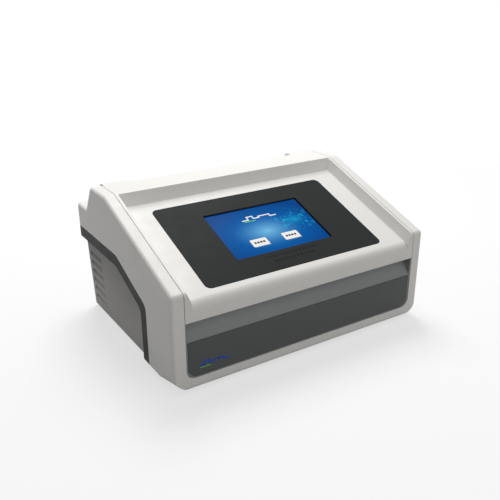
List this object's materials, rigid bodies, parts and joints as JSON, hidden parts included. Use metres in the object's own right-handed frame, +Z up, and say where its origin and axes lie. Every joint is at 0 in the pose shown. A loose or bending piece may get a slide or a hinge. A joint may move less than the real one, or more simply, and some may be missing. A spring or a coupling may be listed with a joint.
{
  "type": "thermal cycler",
  "caption": "Bench-top thermal cycler: a white casing whose sloped lid carries a touch display and hinges open over a well block, with vented dark side panels.",
  "frame": {"origin": "on the floor, under the centre of the casing's box", "axes": "+X to the machine's right as its user faces it, +Y to its rear, +Z up"},
  "size_m": [0.4, 0.304, 0.2025],
  "materials": {
    "casing_white": "fine moulded texture, satin",
    "side_graphite": "fine moulded texture, matt",
    "grip_grey": "fine moulded texture, matt",
    "fascia_dark": "satin",
    "bezel_grey": "satin printed film",
    "screen": "smooth, lit from behind",
    "dark_plastic": "matt",
    "steel": "brushed",
    "aluminium": "satin",
    "rubber": "matt",
    "circuit_board": "solder mask",
    "ceramic": "matt",
    "silicone": "matt"
  },
  "bodies": {
    "base": {"main_housing": "casing_white", "side_panel_left": "side_graphite", "side_panel_right": "side_graphite", "rear_panel": "side_graphite", "front_panel": "grip_grey", "front_fascia": "fascia_dark", "deck_plate": "dark_plastic", "block_surround": "dark_plastic", "catch_magnet": "dark_plastic", "fan_frame_left": "dark_plastic", "fan_frame_right": "dark_plastic", "power_inlet": "dark_plastic", "power_switch_body": "dark_plastic", "base_tray": "steel", "hinge_bracket_left": "steel", "hinge_bracket_right": "steel", "hinge_pin_left": "steel", "hinge_pin_right": "steel", "power_supply": "steel", "usb_port": "steel", "network_port": "steel", "sample_block": "aluminium", "heat_sink": "aluminium", "foot_1": "rubber", "foot_2": "rubber", "foot_3": "rubber", "foot_4": "rubber", "main_board": "circuit_board", "peltier_module_1": "ceramic", "peltier_module_2": "ceramic", "peltier_module_3": "ceramic", "peltier_module_4": "ceramic", "peltier_module_5": "ceramic", "peltier_module_6": "ceramic"},
    "lid": {"lid_shell": "casing_white", "lid_liner": "dark_plastic", "catch_plate": "steel", "lid_gasket": "rubber", "screen_bezel": "bezel_grey", "touch_panel": "screen", "lcd_module": "steel", "display_bracket": "steel", "display_board": "circuit_board", "heater_carrier": "steel"},
    "heated_cover": {"heater_plate": "aluminium", "heater_pad": "silicone", "plate_guide_1": "steel", "plate_guide_2": "steel", "plate_guide_3": "steel", "plate_guide_4": "steel", "plate_spring_1": "steel", "plate_spring_2": "steel", "plate_spring_3": "steel", "plate_spring_4": "steel"},
    "rocker": {"power_rocker": "dark_plastic"},
    "fan_left": {"fan_rotor_left": "dark_plastic"},
    "fan_right": {"fan_rotor_right": "dark_plastic"},
    "fuse_tray": {"fuse_drawer": "dark_plastic"}
  },
  "joints": [
    {"name": "lid_hinge", "type": "hinge", "parent": "base", "child": "lid", "pos_m": [0, 0.0955, 0.193], "axis": [-1, 0, 0], "range_deg": [0, 78]},
    {"name": "cover_float", "type": "slide", "parent": "lid", "child": "heated_cover", "axis": [0, 0, 1], "range_m": [0, 0.003], "stiffness_N_per_m": 5000, "springref_m": -0.003, "deforming": ["plate_spring_1", "plate_spring_2", "plate_spring_3", "plate_spring_4"]},
    {"name": "rocker_tilt", "type": "hinge", "parent": "base", "child": "rocker", "pos_m": [-0.092, 0.14211, 0.05465], "axis": [1, 0, 0], "range_deg": [0, 20]},
    {"name": "fan_left_spin", "type": "hinge", "parent": "base", "child": "fan_left", "pos_m": [-0.175, 0.104, 0.054], "axis": [1, 0, 0], "continuous": true},
    {"name": "fan_right_spin", "type": "hinge", "parent": "base", "child": "fan_right", "pos_m": [0.175, 0.104, 0.054], "axis": [1, 0, 0], "continuous": true},
    {"name": "fuse_tray_slide", "type": "slide", "parent": "base", "child": "fuse_tray", "axis": [0, 0.9905, -0.1373], "range_m": [0, 0.018]}
  ]
}
